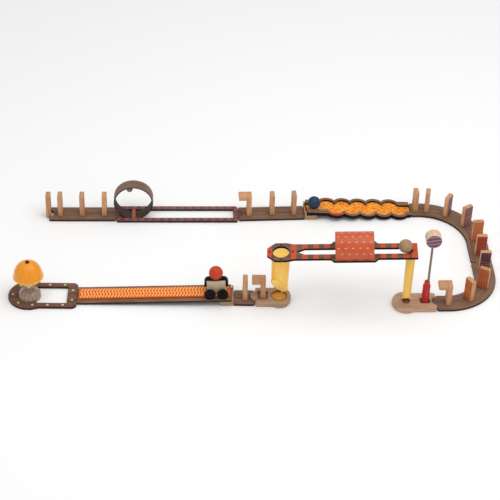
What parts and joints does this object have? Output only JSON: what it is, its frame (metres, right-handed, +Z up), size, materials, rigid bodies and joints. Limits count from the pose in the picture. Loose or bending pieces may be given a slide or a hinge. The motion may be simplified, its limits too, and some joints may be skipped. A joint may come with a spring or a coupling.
{
  "type": "chain reaction toy",
  "caption": "Table-top chain reaction toy: standing dominoes, a rolling hoop, balls on ramps and a rail, a hammer, a car and a bell on joined wooden boards.",
  "frame": {"origin": "middle of the footprint on the table", "axes": "+X to the right along the rows, +Y away from the viewer to the back row, +Z up"},
  "size_m": [0.9545, 0.3553, 0.177],
  "materials": {
    "beech": "natural beech, sanded",
    "brown_board": "dark brown wood-grain print on fibreboard",
    "printed_board": "printed red and brown pattern on fibreboard",
    "orange_board": "printed orange pattern on fibreboard",
    "red_paint": "red painted wood",
    "blue_stain": "blue stained wood",
    "tan_stain": "tan stained wood",
    "black_paint": "black painted wood",
    "yellow_plastic": "translucent yellow tube",
    "clear_plastic": "clear soft plastic",
    "yellow_enamel": "yellow enamel",
    "steel": "bare steel"
  },
  "bodies": {
    "track": {"plank_1": "brown_board", "loop_frame": "printed_board", "plank_2": "brown_board", "wave_support": "beech", "wave_floor": "orange_board", "wave_rear_wall": "brown_board", "wave_front_wall": "brown_board", "rear_curve": "brown_board", "front_curve": "brown_board", "right_base": "beech", "small_tube": "yellow_plastic", "hammer_pin": "steel", "rail": "printed_board", "tunnel": "orange_board", "left_base": "beech", "big_tube": "yellow_plastic", "plank_3": "brown_board", "ramp_support": "beech", "ramp_board": "brown_board", "ramp_strip": "orange_board", "bell_plate": "printed_board", "suction_cup": "clear_plastic"},
    "start_block_body": {"start_block": "beech"},
    "domino_02_body": {"domino_02": "beech"},
    "domino_03_body": {"domino_03": "beech"},
    "domino_04_body": {"domino_04": "beech"},
    "domino_05_body": {"domino_05": "beech"},
    "domino_06_body": {"domino_06": "beech"},
    "domino_07_body": {"domino_07": "beech"},
    "domino_08_body": {"domino_08": "beech"},
    "domino_09_body": {"domino_09": "beech"},
    "domino_10_body": {"domino_10": "beech"},
    "domino_11_body": {"domino_11": "beech"},
    "domino_12_body": {"domino_12": "beech"},
    "domino_13_body": {"domino_13": "beech"},
    "domino_14_body": {"domino_14": "beech"},
    "domino_15_body": {"domino_15": "beech"},
    "domino_16_body": {"domino_16": "beech"},
    "hook_1_body": {"hook_1": "beech"},
    "hook_2_body": {"hook_2": "beech"},
    "hook_3_body": {"hook_3": "beech"},
    "hoop_body": {"hoop": "brown_board", "hoop_weight": "beech"},
    "blue_ball_body": {"blue_ball": "blue_stain"},
    "hammer": {"hammer_handle": "red_paint", "hammer_stick": "beech", "hammer_head": "beech"},
    "tan_ball_body": {"tan_ball": "tan_stain"},
    "car": {"car_body": "beech", "car_top": "black_paint", "rider_ball": "red_paint"},
    "front_wheels": {"front_axle": "steel", "front_left_wheel": "black_paint", "front_right_wheel": "black_paint"},
    "rear_wheels": {"rear_axle": "steel", "rear_left_wheel": "black_paint", "rear_right_wheel": "black_paint"},
    "bell_body": {"bell": "yellow_enamel", "bell_stem": "clear_plastic", "bell_screw": "steel"}
  },
  "joints": [
    {"name": "start_block_fall", "type": "hinge", "parent": "track", "child": "start_block_body", "pos_m": [-0.41147, 0.1346, 0.005], "axis": [0, 1, 0], "range_deg": [0, 17]},
    {"name": "domino_02_fall", "type": "hinge", "parent": "track", "child": "domino_02_body", "pos_m": [-0.38751, 0.1346, 0.0053], "axis": [0, 1, 0], "range_deg": [0, 47]},
    {"name": "domino_03_fall", "type": "hinge", "parent": "track", "child": "domino_03_body", "pos_m": [-0.3429, 0.1346, 0.0053], "axis": [0, 1, 0], "range_deg": [0, 48.5]},
    {"name": "domino_04_fall", "type": "hinge", "parent": "track", "child": "domino_04_body", "pos_m": [-0.29734, 0.1346, 0.0053], "axis": [0, 1, 0], "range_deg": [0, 19.5]},
    {"name": "domino_05_fall", "type": "hinge", "parent": "track", "child": "domino_05_body", "pos_m": [0.04698, 0.13776, 0.0053], "axis": [-0.0401, 0.9992, 0], "range_deg": [0, 47.5]},
    {"name": "domino_06_fall", "type": "hinge", "parent": "track", "child": "domino_06_body", "pos_m": [0.09196, 0.13957, 0.0053], "axis": [-0.0401, 0.9992, 0], "range_deg": [0, 40]},
    {"name": "domino_07_fall", "type": "hinge", "parent": "track", "child": "domino_07_body", "pos_m": [0.34563, 0.14975, 0.0053], "axis": [-0.0401, 0.9992, 0], "range_deg": [0, 15.5]},
    {"name": "domino_08_fall", "type": "hinge", "parent": "track", "child": "domino_08_body", "pos_m": [0.36995, 0.14704, 0.0053], "axis": [0.1789, 0.9839, 0], "range_deg": [0, 43.5]},
    {"name": "domino_09_fall", "type": "hinge", "parent": "track", "child": "domino_09_body", "pos_m": [0.41025, 0.12879, 0.0053], "axis": [0.5517, 0.834, 0], "range_deg": [0, 53]},
    {"name": "domino_10_fall", "type": "hinge", "parent": "track", "child": "domino_10_body", "pos_m": [0.44258, 0.0918, 0.0053], "axis": [0.8596, 0.511, 0], "range_deg": [0, 58]},
    {"name": "domino_11_fall", "type": "hinge", "parent": "track", "child": "domino_11_body", "pos_m": [0.45567, 0.04242, 0.0053], "axis": [0.9977, 0.0682, 0], "range_deg": [0, 51.5]},
    {"name": "domino_12_fall", "type": "hinge", "parent": "track", "child": "domino_12_body", "pos_m": [0.4556, -0.00508, 0.0053], "axis": [1, 0, 0], "range_deg": [0, 61]},
    {"name": "domino_13_fall", "type": "hinge", "parent": "track", "child": "domino_13_body", "pos_m": [0.4556, -0.05658, 0.0053], "axis": [1, 0, 0], "range_deg": [0, 61.5]},
    {"name": "domino_14_fall", "type": "hinge", "parent": "track", "child": "domino_14_body", "pos_m": [0.44396, -0.10854, 0.0053], "axis": [0.8886, -0.4586, 0], "range_deg": [0, 52]},
    {"name": "domino_15_fall", "type": "hinge", "parent": "track", "child": "domino_15_body", "pos_m": [0.409, -0.14131, 0.0053], "axis": [0.5002, -0.8659, 0], "range_deg": [0, 43]},
    {"name": "domino_16_fall", "type": "hinge", "parent": "track", "child": "domino_16_body", "pos_m": [-0.0266, -0.13295, 0.0053], "axis": [-0.0218, -0.9998, 0], "range_deg": [0, 36.5]},
    {"name": "hook_1_fall", "type": "hinge", "parent": "track", "child": "hook_1_body", "pos_m": [-0.00044, 0.13586, 0.0053], "axis": [-0.0401, 0.9992, 0], "range_deg": [0, 52]},
    {"name": "hook_2_fall", "type": "hinge", "parent": "track", "child": "hook_2_body", "pos_m": [0.36637, -0.15036, 0.0053], "axis": [0.0061, -1, 0], "range_deg": [0, 20.5]},
    {"name": "hook_3_fall", "type": "hinge", "parent": "track", "child": "hook_3_body", "pos_m": [0.00789, -0.1337, 0.0053], "axis": [-0.0218, -0.9998, 0], "range_deg": [0, 9]},
    {"name": "hoop_rock", "type": "hinge", "parent": "track", "child": "hoop_body", "pos_m": [-0.2377, 0.1346, 0.0003], "axis": [0, 1, 0], "range_deg": [0, 12]},
    {"name": "blue_ball_run", "type": "slide", "parent": "track", "child": "blue_ball_body", "axis": [0.9975, 0.0401, -0.0578], "range_m": [0, 0.193]},
    {"name": "hammer_swing", "type": "hinge", "parent": "track", "child": "hammer", "pos_m": [0.3261, -0.15033, 0.0045], "axis": [0, -1, 0], "range_deg": [0, 9.5]},
    {"name": "tan_ball_run", "type": "slide", "parent": "track", "child": "tan_ball_body", "axis": [-0.9958, 0.0644, -0.065], "range_m": [0, 0.188]},
    {"name": "car_run", "type": "slide", "parent": "track", "child": "car", "axis": [-0.9989, 0.0218, -0.0411], "range_m": [0, 0.262]},
    {"name": "front_axle_roll", "type": "hinge", "parent": "car", "child": "front_wheels", "pos_m": [-0.08956, -0.13158, 0.02659], "axis": [-0.0218, -0.9998, 0], "range_deg": [0, 1410]},
    {"name": "rear_axle_roll", "type": "hinge", "parent": "car", "child": "rear_wheels", "pos_m": [-0.06479, -0.13212, 0.0276], "axis": [-0.0218, -0.9998, 0], "range_deg": [0, 1410]},
    {"name": "bell_sway", "type": "hinge", "parent": "track", "child": "bell_body", "pos_m": [-0.43701, -0.12399, 0.02], "axis": [-0.0218, -0.9998, 0], "range_deg": [-7, 7], "stiffness_Nm_per_rad": 0.5}
  ],
  "couplings": [
    {"joint": "front_axle_roll", "follows": "car_run", "rad_per_m": 92.593},
    {"joint": "rear_axle_roll", "follows": "car_run", "rad_per_m": 92.593}
  ]
}
